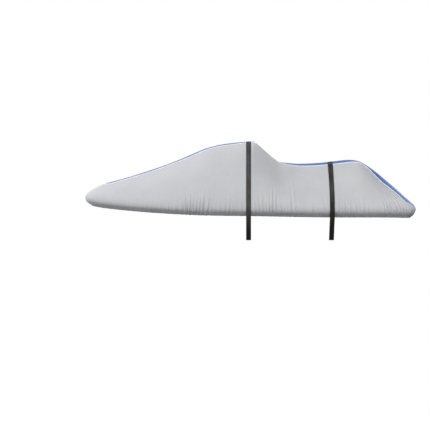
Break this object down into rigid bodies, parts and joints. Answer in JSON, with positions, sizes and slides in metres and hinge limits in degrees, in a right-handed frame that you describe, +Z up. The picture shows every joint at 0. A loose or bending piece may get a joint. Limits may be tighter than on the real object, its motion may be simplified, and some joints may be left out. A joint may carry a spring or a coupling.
{
  "type": "personal watercraft cover",
  "caption": "Fitted cloth cover for a personal watercraft, with a contrasting top panel, piped seams, a gathered hem turned in under the rail and webbing tie-down straps.",
  "frame": {"origin": "on the inner face of the cloth, under the crown at the handlebars, where the craft holds the cover highest", "axes": "+X from the bow to the stern, +Y to starboard, +Z up"},
  "size_m": [3.3546, 1.2318, 1.0062],
  "materials": {
    "grey_cloth": "coated plain weave, satin, pale silver grey",
    "blue_cloth": "coated plain weave, satin, mid blue",
    "piping": "smooth pale piping",
    "webbing": "black woven webbing, dull"
  },
  "bodies": {
    "root": {"side_panel_port": "grey_cloth", "side_panel_starboard": "grey_cloth", "top_panel": "blue_cloth", "piping": "piping", "front_strap": "webbing", "rear_strap": "webbing"}
  },
  "joints": []
}
